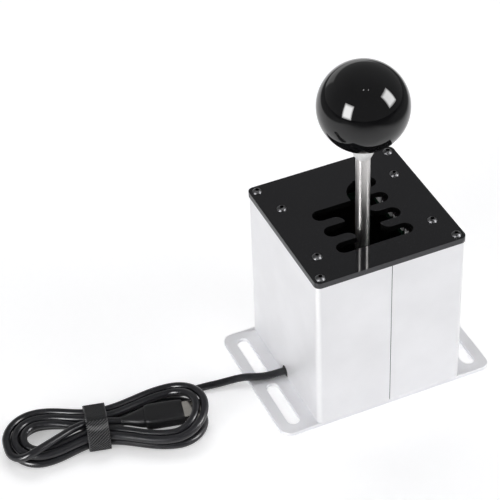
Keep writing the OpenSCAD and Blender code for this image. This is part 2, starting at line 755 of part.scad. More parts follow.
module shift_axle() {
    color("silver") translate([0, lever_y - yoke_out_y, pivot_z]) rotate([mid_angle, 0, 0]) difference() {
        union() {
            cylinder(d = axle_head_d, h = axle_head_h, $fn = fine);
            translate([0, 0, -axle_l]) cylinder(d = axle_d, h = axle_l + axle_head_h * half, $fn = fine);
        }
        translate([0, 0, axle_head_h - axle_socket_h])
            cylinder(d = axle_socket_af / cos(mid_angle / 3), h = axle_socket_h + over, $fn = hex);
    }
}

module axle_nut() {
    color("silver") translate([0, lever_y + yoke_out_y + axle_nut_h, pivot_z]) rotate([mid_angle, 0, 0])
        difference() {
            cylinder(d = axle_nut_af / cos(mid_angle / 3), h = axle_nut_h, $fn = hex);
            translate([0, 0, -over]) cylinder(d = axle_d + 2 * fit_gap, h = axle_nut_h + 2 * over, $fn = fine);
        }
}

module friction_washers() {
    color("white") for (s = [-1, 1])
        translate([0, lever_y + s * (hub_w / 2 + fit_gap + washer_t / 2) + washer_t / 2, pivot_z])
            rotate([mid_angle, 0, 0]) difference() {
                cylinder(d = washer_d, h = washer_t, $fn = fine);
                translate([0, 0, -over]) cylinder(d = axle_d + 2 * clear, h = washer_t + 2 * over, $fn = fine);
            }
}

module lever_hub() {
    color("gray") translate([0, lever_y, 0]) difference() {
        union() {
            translate([-hub_w / 2, -hub_w / 2, pivot_z - hub_half_h]) cube([hub_w, hub_w, 2 * hub_half_h]);
            translate([0, 0, pivot_z]) cylinder(d = hub_neck_d, h = hub_half_h + hub_neck_h, $fn = fine);
        }
        translate([0, 0, rod_z]) cylinder(d = rod_d + 2 * fit_gap, h = hub_top - rod_z + over, $fn = fine);
        translate([0, hub_w / 2 + over, pivot_z]) rotate([mid_angle, 0, 0])
            cylinder(d = axle_d + 2 * fit_gap, h = hub_w + 2 * over, $fn = fine);
        translate([0, 0, set_screw_z]) rotate([0, mid_angle, 0])
            cylinder(d = set_screw_d + 2 * fit_gap, h = hub_neck_d, $fn = fine);
    }
}

module hub_set_screw() {
    inner_end = rod_d / 2 + fit_gap;
    color("#3c3c40") translate([inner_end, lever_y, set_screw_z]) rotate([0, mid_angle, 0]) difference() {
        cylinder(d = set_screw_d, h = hub_neck_d / 2 - inner_end - clear, $fn = fine);
        translate([0, 0, hub_neck_d / 4 - inner_end / 4])
            cylinder(d = socket_af / cos(mid_angle / 3), h = hub_neck_d, $fn = hex);
    }
}

module lever_rod() {
    color("silver") translate([0, lever_y, rod_z]) cylinder(d = rod_d, h = rod_top - rod_z, $fn = fine);
}

module knob_collar() {
    color("whitesmoke") translate([0, lever_y, collar_z]) difference() {
        union() {
            cylinder(d1 = collar_small_d, d2 = collar_d, h = collar_cone_h, $fn = fine);
            translate([0, 0, collar_cone_h]) cylinder(d = collar_d, h = collar_ring_h, $fn = fine);
        }
        translate([0, 0, -over])
            cylinder(d = rod_d + 2 * fit_gap, h = collar_cone_h + collar_ring_h + 2 * over, $fn = fine);
    }
}

module knob_insert() {
    color("goldenrod") translate([0, lever_y, knob_flat_z]) difference() {
        cylinder(d = insert_d, h = insert_l, $fn = fine);
        translate([0, 0, -over])
            cylinder(d = rod_d + 2 * fit_gap, h = insert_l + over - insert_gap + fit_gap, $fn = fine);
    }
}

module ball_knob() {
    color("#0e0e10") difference() {
        translate([0, lever_y, knob_z]) sphere(d = knob_d, $fn = 2 * fine);
        translate([-knob_d, lever_y - knob_d, knob_flat_z - knob_d]) cube([2 * knob_d, 2 * knob_d, knob_d]);
        translate([0, lever_y, knob_flat_z - over])
            cylinder(d = insert_d + 2 * fit_gap, h = insert_l + over + fit_gap, $fn = fine);
    }
}

// The arch of the grommet or of its flange, flat on the base plate
module arch(r, length) {
    linear_extrude(length) intersection() {
        union() {
            circle(r, $fn = fine);
            translate([0, -r]) square([2 * r, 2 * r]);
        }
        translate([-2 * r, -2 * r]) square([2 * r + exit_z - wall_z, 4 * r]);
    }
}

module cable_grommet() {
    lip = grommet_arch + grommet_lip;
    color("#1a1a1a") translate([0, 0, exit_z]) difference() {
        union() {
            translate([-grommet_out_x, 0, 0]) rotate([0, mid_angle, 0]) arch(grommet_arch, wall_t + clear);
            translate([-grommet_in_x - grommet_flange_t, 0, 0]) rotate([0, mid_angle, 0])
                arch(lip, grommet_flange_t);
        }
        translate([-grommet_out_x - over, 0, 0]) rotate([0, mid_angle, 0])
            cylinder(d = cable_d + clear, h = grommet_out_x - grommet_in_x + 2 * over, $fn = fine);
    }
}

// A saddle over the cable just inside the wall, with one foot on the base plate
module cable_clamp() {
    clamp_in = cable_r + rest_gap;
    color("white") difference() {
        translate([-clamp_x - clamp_w / 2, 0, exit_z]) rotate([mid_angle, 0, mid_angle])
            linear_extrude(clamp_w) difference() {
                union() {
                    circle(clamp_in + clamp_t, $fn = fine);
                    translate([-clamp_in - clamp_t, wall_z - exit_z])
                        square([2 * (clamp_in + clamp_t), exit_z - wall_z]);
                    translate([0, wall_z - exit_z]) square([clamp_screw_y + clamp_w / 2, 2 * clamp_t]);
                }
                circle(clamp_in, $fn = fine);
                translate([-clamp_in, wall_z - exit_z - over]) square([2 * clamp_in, exit_z - wall_z + over]);
            }
        translate([-clamp_x, clamp_screw_y, wall_z - over])
            cylinder(d = plate_hole_d, h = 2 * clamp_t + 2 * over, $fn = fine);
    }
}

module clamp_screw() {
    color("silver") translate([-clamp_x, clamp_screw_y, wall_z + 2 * clamp_t])
        button_screw(screw_d, head_d, head_h, 2 * clamp_t + base_t - clear, socket_af);
}

module usb_lead() {
    color("#232327") tube(lead_path, cable_r, cable_sides, [0, 1, 0]);
}

module in_hank() {
    translate(hank_place) rotate(hank_turn) children();
}

module usb_hank() {
    color("#232327") in_hank() tube(hank_path, cable_r, loop_sides, [0, 0, 1]);
}

module usb_tail() {
    color("#232327") in_hank() tube(tail_path, cable_r, cable_sides, [0, 0, 1]);
}

// A strap round the waist of the hank; its free end laps over the front
module hank_tie() {
    module around(r) {
        hull() for (p = tie_points) translate([p.y, p.z]) circle(r, $fn = soft_fine);
    }
    tie_in = cable_r + tie_gap;
    color("#1d1d20") in_hank() translate([-tie_w / 2, 0, 0]) rotate([mid_angle, 0, mid_angle])
        linear_extrude(tie_w) {
            difference() {
                around(tie_in + tie_t);
                around(tie_in);
            }
            intersection() {
                difference() {
                    around(tie_in + tie_t + tie_lap_t);
                    around(tie_in + tie_t * half);
                }
                translate([-2 * waist_half, tie_lap_z]) square([2 * waist_half, 2 * waist_half]);
            }
        }
}

module plug_body() {
    color("#202024") in_hank() translate([0, 0, plug_z]) union() {
        translate([plug_x, 0, 0]) rotate([0, mid_angle, 0])
            linear_extrude(plug_l) rounded(plug_t, plug_w, plug_t / 4);
        translate([plug_x - relief_l, 0, 0]) rotate([0, mid_angle, 0])
            cylinder(d1 = cable_d + 4 * clear, d2 = relief_d, h = relief_l, $fn = fine);
    }
}

module plug_shell() {
    color("silver") in_hank() translate([plug_x + plug_l, 0, plug_z]) difference() {
        rotate([0, mid_angle, 0]) linear_extrude(shell_l) difference() {
            rounded(shell_t, shell_w, shell_wall);
            square([shell_t - 2 * shell_wall, shell_w - 2 * shell_wall], center = true);
        }
        for (s = [-1, 1]) translate([shell_l * half, s * shell_w / 4, 0])
            cube([shell_window, shell_window, 2 * shell_t], center = true);
    }
}

// The plastic tongue that carries the contacts inside the shell
module plug_tongue() {
    gap = shell_wall + clear;
    color("white") in_hank() translate([plug_x + plug_l, gap - shell_w / 2, plug_z + gap - shell_t / 2])
        cube([shell_l - shell_wall, shell_w - 2 * gap, contact_t]);
}

base_plate();
housing_left();
housing_right();
base_screws();
gate_plate();
corner_screws();
inner_screws();
standoffs();
switch_board();
board_screws();
controller_chip();
board_connector();
switch_reverse();
switch_first();
switch_second();
switch_third();
switch_fourth();
switch_fifth();
switch_sixth();
switch_blades();
bracket_left();
bracket_right();
bracket_screws();
bush_left();
bush_right();
centring_springs();
select_yoke();
shift_axle();
axle_nut();
friction_washers();
lever_hub();
hub_set_screw();
lever_rod();
knob_collar();
knob_insert();
ball_knob();
cable_grommet();
cable_clamp();
clamp_screw();
usb_lead();
usb_hank();
usb_tail();
hank_tie();
plug_body();
plug_shell();
plug_tongue();
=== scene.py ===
"""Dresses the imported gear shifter: cable, tie, plug and knob in detail, finishes, light and camera."""

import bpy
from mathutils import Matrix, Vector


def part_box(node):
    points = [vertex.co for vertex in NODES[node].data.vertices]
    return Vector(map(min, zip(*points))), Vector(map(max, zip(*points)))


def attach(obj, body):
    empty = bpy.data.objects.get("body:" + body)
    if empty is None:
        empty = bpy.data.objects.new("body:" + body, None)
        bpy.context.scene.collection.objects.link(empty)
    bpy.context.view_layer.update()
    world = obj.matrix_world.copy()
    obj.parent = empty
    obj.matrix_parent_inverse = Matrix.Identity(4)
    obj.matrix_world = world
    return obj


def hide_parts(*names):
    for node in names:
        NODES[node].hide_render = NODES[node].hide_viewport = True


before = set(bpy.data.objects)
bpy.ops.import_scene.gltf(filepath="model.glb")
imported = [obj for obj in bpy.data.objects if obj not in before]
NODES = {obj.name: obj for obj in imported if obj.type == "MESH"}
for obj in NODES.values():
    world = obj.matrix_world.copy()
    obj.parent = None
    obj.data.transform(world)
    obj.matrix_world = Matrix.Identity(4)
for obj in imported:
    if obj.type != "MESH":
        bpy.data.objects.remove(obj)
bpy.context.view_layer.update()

import math

import bpy
from mathutils import Matrix, Vector

SCENE = bpy.context.scene
# A full turn in radians, and millimetres in a metre
FULL = 2 * math.pi
MM = 1000

# Camera, as it stood for the photograph
CAMERA_AT = (-0.3717, -0.7440, 0.7896)
CAMERA_YAW = -22.489
CAMERA_PITCH = 40.403
CAMERA_ROLL = -2.381
FOCAL_PX = 1946.15
IMAGE_PX = 500
SENSOR_MM = 36

# The camera's forward and right directions along the floor
FORWARD = (math.sin(math.radians(-CAMERA_YAW)), math.cos(math.radians(CAMERA_YAW)))
RIGHTWARD = (FORWARD[1], -FORWARD[0])

# Light: the world's level on the part, what mirrors see of the studio, and the glow that whitens the floor
PLAIN_LIGHT = 0.42
ROOM_BACK = 0.27
ROOM_FRONT = 0.21
FLOOR_GLOW = 0.34
FAR_GLOW = 0.66

# The white paper that mirrors see: where it fades out on the floor, and in the sky above the floor's end
FLOOR_WHITE = (0.86, 0.86, 0.87)
FLOOR_HALF = 6
PAPER_NEAR = (-0.90, -0.15)
PAPER_LEFT = (-0.62, -0.46)
PAPER_RIGHT = (0.24, 0.46)
BACKDROP_TOP = (0.13, 0.20)
BACKDROP_SLOPE = 0.25
BACKDROP_LEFT = (-0.78, -0.66)
BACKDROP_RIGHT = (0.05, 0.40)

# The housing's inside, for its painted shade, and the seam's half width
INNER_HALF = 0.0435
SEAM_HALF = 0.0008

# Half of the square that holds the gate's slots
GATE_HALF = 0.036

# The axes of the gate plate's corner and inner screws, and the radius of the painted shade in their sockets
CORNER_AT = 0.041
INNER_X = 0.035017
INNER_Y = 0.02275
INNER_MID = -0.00175
SOCKET_R = 0.0011

# Cable and its route, the same as in the part's source
CABLE_D = 0.0044
CABLE_R = CABLE_D / 2
FLOOR_GAP = 0.0001
EXIT = (-0.045, 0, 0.0055)
CONNECTOR = (-0.032, 0.001, 0.0884)
LEAD_INSIDE = [
    (-0.032, 0.001, 0.078), (-0.0318, 0.001, 0.070), (-0.0305, 0.001, 0.060), (-0.0285, 0.001, 0.048),
    (-0.028, 0.001, 0.036), (-0.028, 0.001, 0.024), (-0.028, 0.001, 0.0145), (-0.0287, 0.001, 0.0111),
    (-0.0306, 0.0008, 0.0081), (-0.0336, 0.0003, 0.0062), (-0.037, 0, 0.0055), (-0.0407, 0, 0.0055),
]
LEAD_OUTSIDE = [
    (-0.0472, 0, 0.0055), (-0.052, 0.0005, 0.0052), (-0.057, 0.0015, 0.0049), (-0.062, 0.0032, 0.0049),
    (-0.067, 0.0054, 0.0048), (-0.072, 0.0074, 0.004), (-0.077, 0.0089, 0.003), (-0.083, 0.010, 0.0024),
    (-0.090, 0.011, 0.0023), (-0.097, 0.0116, 0.0023),
]

# The hank in its own frame: a lobe at each end, a waist under the tie, and loops that step in and up
HANK_PLACE = Vector((-0.160, 0.0024, 0))
HANK_TURN = math.radians(-13)
LOBE_RIGHT_R = 0.022
LOBE_LEFT_R = 0.0185
LOBE_RIGHT = 0.043
LOBE_LEFT = 0.032
WAIST_HALF = 0.0113
LOOP_STEP = 0.0049
LAYER_STEP = 0.00495
LOOPS = 4.375
LOOP_POINTS = 48
START_SHARE = 0.125
QUARTER_SHARE = 0.25
WAIST_POWER = 6
# In turns: where the run stops stepping in and steps out again, and where it climbs to the second layer
REVERSE_AT = 2.09
REVERSE_SOFT = 0.0375
CLIMB_FROM = 2.04
CLIMB_TURNS = 0.18

# The tie: its width, thickness and gap to the strands, how finely it is built, and its pinked edges' teeth
TIE_W = 0.012
TIE_T = 0.0012
TIE_GAP = 0.0006
TIE_STEPS = 240
TIE_ACROSS = 12
SECTION_DOTS = 32
TURN_TEETH = 0.00035
BACK_TEETH_SHARE = 0.4
# The lapped end: its share of the section, its layer and width as shares of the tie's, and where its fold
# has a painted highlight
LAP_FROM, LAP_TO = 0.82, 1.07
LAP_IN, LAP_OUT = 0.97, 1.75
LAP_WIDE = 0.98
LAP_TEETH = 0.00045
LAP_FOLD_MM = 5.3

# The plug's place and size in the hank's frame, and how the loops under it make way
PLUG_Z = 0.0092
PLUG_X = 0.027
PLUG_L = 0.022
PLUG_W = 0.0155
PLUG_T = 0.008
SHELL_T = 0.0045
PLUG_POWER = 4
PLUG_PULL = 0.002
PLUG_CLEAR = 0.0008
PLUG_LIFT = PLUG_Z + SHELL_T / 2 + PLUG_CLEAR - FLOOR_GAP - LAYER_STEP

# The boot grows from a round end to shares of the plug's width and thickness; a higher power is squarer
RELIEF_L = 0.008
BOOT_L = 0.0135
BOOT_R = CABLE_R * 1.1
BOOT_WIDE, BOOT_THICK = 0.40, 0.44
BOOT_STEPS = 14
BOOT_SWELL = 0.92
ROUND_POWER = 2.0
BOOT_POWER_RISE = 1.6
BODY_POWER = 5.0
PLUG_POINTS = 64
# Along the plug's body: share of its length, of its half width and of its half thickness
PLUG_SECTIONS = [
    (0.0, 0.74, 0.82), (0.015, 0.82, 0.92), (0.05, 0.90, 0.98), (0.13, 0.97, 1.0), (0.25, 1.0, 1.0),
    (0.55, 1.0, 1.0), (0.80, 0.985, 1.0), (0.94, 0.975, 0.99), (0.985, 0.955, 0.965), (1.0, 0.92, 0.92),
]

# The tail's route in the hank's frame, from the last loop to the plug, and its points under the tie
TAIL_ROUTE = [
    (-0.0502, -0.0093, 0.0072), (-0.0466, -0.0142, 0.0079), (-0.042, -0.0163, 0.0099),
    (-0.037, -0.0159, 0.012), (-0.0303, -0.0127, 0.0126), (-0.0264, -0.0106, 0.0127),
    (-0.0213, -0.0077, 0.0128), (-0.016, -0.0046, 0.0128), (-0.0114, -0.0024, 0.0127),
    (-0.0083, -0.0011, 0.0124), (-0.0044, 0.0002, 0.0117), (0.0007, 0.0006, 0.0114),
    (0.0048, 0.0005, 0.0108), (0.0106, 0.0002, 0.0098),
]
TIED = slice(10, 13)

# The knob's rounded mouth, the hole in its flat, how finely it is turned, and the angle left at its pole
KNOB_LIP = 0.0008
KNOB_BORE_R = 0.0062
KNOB_BORE_DEPTH = 0.001
KNOB_STEPS = 96
KNOB_SEGMENTS = 128
KNOB_POLE = 0.004

# How far the edges of CAD nodes are rounded off, the angle that makes an edge, and the weld before it
SOFT_EDGE = 0.0003
FINE_EDGE = 0.00015
EDGE_ANGLE = math.radians(40)
EDGE_SEGMENTS = 3
WELD_WITHIN = 0.000002

# The height that the lamps shine at, and how the light of their cards falls off towards the rim
AIM_HEIGHT = 0.1
CARD_FALL_FROM = 0.6
CARD_FALL = 4


def link(obj):
    """Puts a new object into the scene."""
    SCENE.collection.objects.link(obj)
    return obj


def make_camera():
    """The camera at the photograph's viewing angle."""
    data = bpy.data.cameras.new("camera")
    data.sensor_width = SENSOR_MM
    data.lens = SENSOR_MM * FOCAL_PX / IMAGE_PX
    data.clip_start, data.clip_end = 0.01, 20
    camera = link(bpy.data.objects.new("camera", data))
    turn = (Matrix.Rotation(math.radians(CAMERA_YAW), 4, "Z")
            @ Matrix.Rotation(math.radians(90 - CAMERA_PITCH), 4, "X")
            @ Matrix.Rotation(math.radians(CAMERA_ROLL), 4, "Z"))
    camera.matrix_world = Matrix.Translation(CAMERA_AT) @ turn
    SCENE.camera = camera


def smooth(value):
    """A soft step from 0 to 1."""
    share = max(0.0, min(1.0, value))
    return share * share * (3 - 2 * share)


def inward(turns):
    """How many loops further in the run lies after that many turns."""
    away = abs(turns - REVERSE_AT)
    soft = away * away / (2 * REVERSE_SOFT) + REVERSE_SOFT / 2 if away < REVERSE_SOFT else away
    return REVERSE_AT - soft


def loop_point(turns):
    """A point of the hank's loops in its own frame: a round lobe at each end, drawn in at the waist."""
    phase = (turns + START_SHARE) % 1
    steps_in = inward(turns)
    side = 1 if math.cos(FULL * phase) >= 0 else -1
    hand = 1 if phase < 0.5 else -1
    half_turn = phase % 0.5
    fold = half_turn if half_turn < QUARTER_SHARE else 0.5 - half_turn
    r = (LOBE_RIGHT_R if side > 0 else LOBE_LEFT_R) - LOOP_STEP * steps_in
    w = WAIST_HALF - LOOP_STEP * steps_in
    lobe = LOBE_RIGHT if side > 0 else LOBE_LEFT
    arc = QUARTER_SHARE / 2
    if fold < arc:
        x = lobe + r * math.cos(fold / arc * math.pi / 2)
        y = r * math.sin(fold / arc * math.pi / 2)
    else:
        along = 1 - (fold - arc) / arc
        x = lobe * along
        y = w + (r - w) * (1 - math.cos(math.pi * along)) / 2
    up = smooth((turns - CLIMB_FROM) / CLIMB_TURNS)
    bump = max(0.0, math.cos(FULL * phase)) ** PLUG_POWER
    z = (CABLE_R + FLOOR_GAP + up * LAYER_STEP + up * PLUG_LIFT * bump
         + (TIE_T + TIE_GAP) * math.sin(FULL * phase) ** WAIST_POWER)
    return Vector((side * x - up * PLUG_PULL * bump, hand * y, z))


def place(point):
    """From the hank's own frame to the part's."""
    return HANK_PLACE + Matrix.Rotation(HANK_TURN, 3, "Z") @ Vector(point)


def spline_through(points, steps):
    """Points on a Catmull-Rom spline through the given ones."""
    points = [Vector(p) for p in points]
    ends = [2 * points[0] - points[1]] + points + [2 * points[-1] - points[-2]]
    out = []
    for i in range(len(points) - 1):
        a, b, c, d = ends[i : i + 4]
        for j in range(steps):
            t = j / steps
            out.append((2 * b + (c - a) * t + (2 * a - 5 * b + 4 * c - d) * t * t
                        + (3 * b - a - 3 * c + d) * t ** 3) / 2)
    return out + [points[-1]]


def cable_curve(name, points):
    """A round cable as a curve of one open spline."""
    data = bpy.data.curves.new(name, "CURVE")
    data.dimensions = "3D"
    data.bevel_depth = CABLE_R
    data.bevel_resolution = 6
    data.use_fill_caps = True
    spline = data.splines.new("POLY")
    spline.points.add(len(points) - 1)
    for target, p in zip(spline.points, points):
        target.co = (*p, 1)
    spline.use_smooth = True
    return link(bpy.data.objects.new(name, data))


def cable_points():
    """The whole cable from the housing to the plug: lead, loops and tail."""
    along = Vector((CABLE_D, 0, 0))
    loops = [loop_point(i / LOOP_POINTS) for i in range(int(LOOPS * LOOP_POINTS) + 1)]
    tail_end = Vector((PLUG_X - RELIEF_L, 0, PLUG_Z))
    hank = [loops[0] + 2 * along, loops[0] + along] + loops
    tail = TAIL_ROUTE + [tail_end - along, tail_end]
    return [Vector(EXIT)] + LEAD_OUTSIDE + [place(p) for p in hank + tail]


make_camera()
cable_line = spline_through(cable_points(), 3)
cable = cable_curve("usb_cable", cable_line)
cable_inside = cable_curve("usb_cable_inside", spline_through([CONNECTOR] + LEAD_INSIDE + [EXIT], 4))


class Nodes:
    """Short calls that add nodes to a tree."""

    def __init__(self, tree):
        self.tree = tree

    def feed(self, socket, value):
        """Links a socket to a value, or sets it."""
        if isinstance(value, bpy.types.NodeSocket):
            self.tree.links.new(value, socket)
        else:
            socket.default_value = value

    def node(self, kind, **inputs):
        """Adds a node; its inputs are given by name, with _ for a space."""
        made = self.tree.nodes.new(kind)
        for name, value in inputs.items():
            self.feed(made.inputs[name.replace("_", " ")], value)
        return made

    def split(self, vector):
        """The X, Y and Z of a vector, as outputs by these names."""
        return self.node("ShaderNodeSeparateXYZ", Vector=vector).outputs

    def coordinates(self, stretch=(1, 1, 1), source="Object"):
        """The object's own coordinates, or another kind, stretched."""
        at = self.node("ShaderNodeTexCoord").outputs[source]
        return self.node("ShaderNodeMapping", Vector=at, Scale=stretch).outputs["Vector"]

    def noise(self, scale, detail=2.0, roughness=0.5, stretch=(1, 1, 1)):
        made = self.node("ShaderNodeTexNoise", Vector=self.coordinates(stretch), Scale=scale, Detail=detail,
                         Roughness=roughness)
        return made.outputs["Fac"]

    def spread(self, value, low, high, from_low=0.3, from_high=0.7):
        """Maps a noise to the range from low to high."""
        made = self.node("ShaderNodeMapRange", Value=value, From_Min=from_low, From_Max=from_high,
                         To_Min=low, To_Max=high)
        return made.outputs["Result"]

    def ramp(self, value, span, to_low, to_high):
        """A smooth step from one value to another across a span."""
        made = self.node("ShaderNodeMapRange", Value=value, From_Min=span[0], From_Max=span[1],
                         To_Min=to_low, To_Max=to_high)
        made.interpolation_type = "SMOOTHSTEP"
        return made.outputs["Result"]

    def math(self, operation, a, b=0.0):
        made = self.tree.nodes.new("ShaderNodeMath")
        made.operation = operation
        self.feed(made.inputs[0], a)
        self.feed(made.inputs[1], b)
        return made.outputs[0]

    def plus(self, a, b):
        return self.math("ADD", a, b)

    def minus(self, a, b):
        return self.math("SUBTRACT", a, b)

    def times(self, *values):
        out = values[0]
        for value in values[1:]:
            out = self.math("MULTIPLY", out, value)
        return out

    def absolute(self, value):
        return self.math("ABSOLUTE", value)

    def sine(self, value):
        return self.math("SINE", value)

    def larger(self, a, b):
        return self.math("MAXIMUM", a, b)

    def distance(self, a, b):
        """The length of a step of a one way and b across it."""
        return self.math("SQRT", self.plus(self.times(a, a), self.times(b, b)))

    def along(self, parts, direction):
        """The share of a split vector along a direction in the plane."""
        return self.plus(self.times(parts["X"], direction[0]), self.times(parts["Y"], direction[1]))

    def mix(self, factor, a, b):
        """One colour or another, by the factor."""
        made = self.tree.nodes.new("ShaderNodeMix")
        made.data_type = "RGBA"
        self.feed(made.inputs["Factor"], factor)
        self.feed(made.inputs[6], (*a, 1) if isinstance(a, tuple) else a)
        self.feed(made.inputs[7], (*b, 1) if isinstance(b, tuple) else b)
        return made.outputs[2]

    def ray(self, kind):
        """One for rays of that kind, nought for others; only the floor and the world ask."""
        return self.node("ShaderNodeLightPath").outputs[f"Is {kind} Ray"]

    def reflected(self):
        """One where a mirror or glass looks, nought for any other ray."""
        return self.larger(self.ray("Glossy"), self.ray("Transmission"))


class Finish(Nodes):
    """A material with a Principled shader, and calls for what feeds it."""

    def __init__(self, name, color, roughness, metallic=0.0, specular=0.5, coat=0.0, coat_roughness=0.03):
        self.material = bpy.data.materials.new(name)
        self.material.use_nodes = True
        self.material.diffuse_color = (*color, 1)
        super().__init__(self.material.node_tree)
        self.shader = self.tree.nodes["Principled BSDF"]
        self.put("Base Color", (*color, 1))
        self.put("Roughness", roughness)
        self.put("Metallic", metallic)
        self.put("Specular IOR Level", specular)
        self.put("Coat Weight", coat)
        self.put("Coat Roughness", coat_roughness)

    def put(self, name, value):
        """Feeds one of the shader's inputs."""
        self.feed(self.shader.inputs[name], value)

    def position(self):
        """The point's coordinates in the part's frame."""
        return self.split(self.coordinates())

    def facing(self):
        """The surface's direction."""
        return self.split(self.node("ShaderNodeNewGeometry").outputs["Normal"])

    def color(self, socket):
        self.put("Base Color", socket)
        return self

    def tint(self, factor, color):
        """Mixes a colour over what feeds the shader so far."""
        return self.color(self.mix(factor, self.shader.inputs["Base Color"].links[0].from_socket, color))

    def rough(self, socket):
        self.put("Roughness", socket)
        return self

    def bump(self, height, strength, distance):
        made = self.node("ShaderNodeBump", Height=height, Strength=strength, Distance=distance)
        self.put("Normal", made.outputs["Normal"])
        return self


def scaled(color, factor):
    """A colour made lighter or darker."""
    return tuple(min(1, c * factor) for c in color)


def satin_aluminium(name, color, roughness, metallic, inner_half=0):
    """Bead-blasted, anodised metal with a fine even grain and slow clouds in its shine.

    Its rounded corners are painted near white, a painted highlight. In a housing, the inside and the walls
    of the seam are painted near black, a painted shade.
    """
    corner_highlight, unlit = (0.97, 0.97, 0.98), (0.03, 0.03, 0.032)
    finish = Finish(name, color, roughness, metallic)
    grain = finish.noise(5200, 3, 0.6)
    clouds = finish.noise(26, 3, 0.55)
    finish.color(finish.mix(finish.spread(clouds, 0, 1), scaled(color, 0.965), scaled(color, 1.04)))
    facing = finish.facing()
    # Painted highlight: the rounded corners, where the normal points between X and Y, are painted near
    # white.
    corner = finish.spread(finish.absolute(finish.times(facing["X"], facing["Y"])), 0, 1, 0.08, 0.40)
    finish.tint(corner, corner_highlight)
    if inner_half:
        at = finish.position()
        from_seam = finish.absolute(at["X"])
        inside = finish.math("LESS_THAN", finish.larger(from_seam, finish.absolute(at["Y"])), inner_half)
        sideways = finish.math("GREATER_THAN", finish.absolute(facing["X"]), 0.7)
        seam = finish.times(sideways, finish.math("LESS_THAN", from_seam, SEAM_HALF))
        # Painted shade: the housing's inside and its seam's walls are painted near black.
        finish.tint(finish.larger(inside, seam), unlit)
    fine = finish.spread(grain, -0.035, 0.035)
    finish.rough(finish.plus(finish.spread(clouds, roughness - 0.03, roughness + 0.03), fine))
    return finish.bump(grain, 0.25, 0.00003)


def black_acrylic():
    """The polished gate plate: mirror-like face with faint handling haze and dust, and sawn matt edges; its
    slot walls have painted shade, near black with their shine cut.
    """
    polished, speck, sawn = (0.0075, 0.0075, 0.009), (0.03, 0.03, 0.034), (0.035, 0.035, 0.039)
    shine, slot_shine = 0.45, 0.04
    finish = Finish("black_acrylic", polished, 0.06, specular=shine)
    haze = finish.noise(34, 4, 0.6)
    dust = finish.noise(1900, 1, 0.4)
    flat = finish.math("GREATER_THAN", finish.absolute(finish.facing()["Z"]), 0.9)
    wall = finish.minus(1.0, flat)
    finish.color(finish.mix(flat, sawn, finish.mix(finish.spread(dust, 0, 1, 0.70, 0.78), polished, speck)))
    at = finish.position()
    reach = finish.larger(finish.absolute(at["X"]), finish.absolute(at["Y"]))
    # Painted shade: the slot walls are painted near black and lose most of their shine, so the slots look
    # dark inside.
    slot_wall_shade = finish.times(wall, finish.math("LESS_THAN", reach, GATE_HALF))
    finish.tint(slot_wall_shade, (0.003, 0.003, 0.003))
    finish.put("Specular IOR Level", finish.spread(slot_wall_shade, shine, slot_shine, 0.0, 1.0))
    return finish.rough(finish.plus(finish.spread(haze, 0.035, 0.075), finish.times(wall, 0.3)))


def gloss_black(name, color, roughness, specular):
    """Polished black plastic with a trace of haze and orange peel."""
    finish = Finish(name, color, roughness, specular=specular)
    haze = finish.noise(60, 3, 0.55)
    finish.color(finish.mix(finish.spread(haze, 0, 1), color, scaled(color, 1.5)))
    finish.rough(finish.spread(haze, roughness * 0.8, roughness * 1.25))
    return finish.bump(finish.noise(240, 2, 0.5), 0.04, 0.0001)


def cable_jacket(name):
    """Extruded soft jacket: glossy, with fine streaks and a little dust."""
    finish = Finish(name, (0.010, 0.010, 0.012), 0.30, specular=0.36, coat=0.22, coat_roughness=0.10)
    streaks = finish.noise(420, 3, 0.6)
    slow = finish.noise(38, 2, 0.5)
    finish.color(finish.mix(finish.spread(slow, 0, 1), (0.007, 0.007, 0.009), (0.014, 0.014, 0.017)))
    finish.rough(finish.spread(slow, 0.26, 0.36))
    return finish.bump(streaks, 0.12, 0.00006)


def turned_steel(name, color, roughness, metallic, stretched):
    """Turned and polished steel: fine lines round it, which draw each light out along it."""
    finish = Finish(name, color, roughness, metallic)
    finish.put("Anisotropic", stretched)
    finish.put("Anisotropic Rotation", 0.25)
    tangent = finish.node("ShaderNodeTangent")
    tangent.direction_type = "RADIAL"
    tangent.axis = "Z"
    finish.put("Tangent", tangent.outputs["Tangent"])
    lines = finish.noise(700, 2, 0.5, (0.2, 0.2, 3))
    finish.rough(finish.spread(lines, roughness * 0.95, roughness * 1.06))
    patches = finish.spread(finish.noise(1500, 3, 0.65), 0, 1)
    return finish.color(finish.mix(patches, scaled(color, 0.86), color))


def metal(name, color, roughness, metallic=1.0):
    """Plain machined or plated metal with a little unevenness."""
    finish = Finish(name, color, roughness, metallic)
    fine = finish.noise(1500, 3, 0.6)
    slow = finish.noise(90, 2, 0.5)
    finish.color(finish.mix(finish.spread(slow, 0, 1), scaled(color, 0.82), color))
    finish.rough(finish.spread(fine, roughness * 0.85, roughness * 1.2))
    return finish.bump(fine, 0.15, 0.00002)


def screw_steel(name, x_half, y_half, y_mid=0.0):
    """Blackened steel of four screws around (0, y_mid), with painted shade, near black, inside their hex
    sockets.
    """
    finish = metal(name, (0.125, 0.125, 0.13), 0.40)
    at = finish.position()
    across = finish.minus(finish.absolute(at["X"]), x_half)
    ahead = finish.minus(finish.absolute(finish.minus(at["Y"], y_mid)), y_half)
    # Painted shade: the hex sockets are painted near black.
    socket = finish.ramp(finish.distance(across, ahead), (SOCKET_R * 0.9, SOCKET_R * 1.1), 1.0, 0.0)
    return finish.tint(socket, (0.003, 0.003, 0.003))


def plastic(name, color, roughness, specular=0.5):
    """Moulded plastic with a fine spark-eroded grain."""
    finish = Finish(name, color, roughness, specular=specular)
    fine = finish.noise(2200, 2, 0.5)
    slow = finish.noise(70, 2, 0.5)
    finish.color(finish.mix(finish.spread(slow, 0, 1), scaled(color, 0.88), color))
    finish.rough(finish.spread(fine, roughness * 0.9, roughness * 1.1))
    return finish.bump(fine, 0.2, 0.00003)


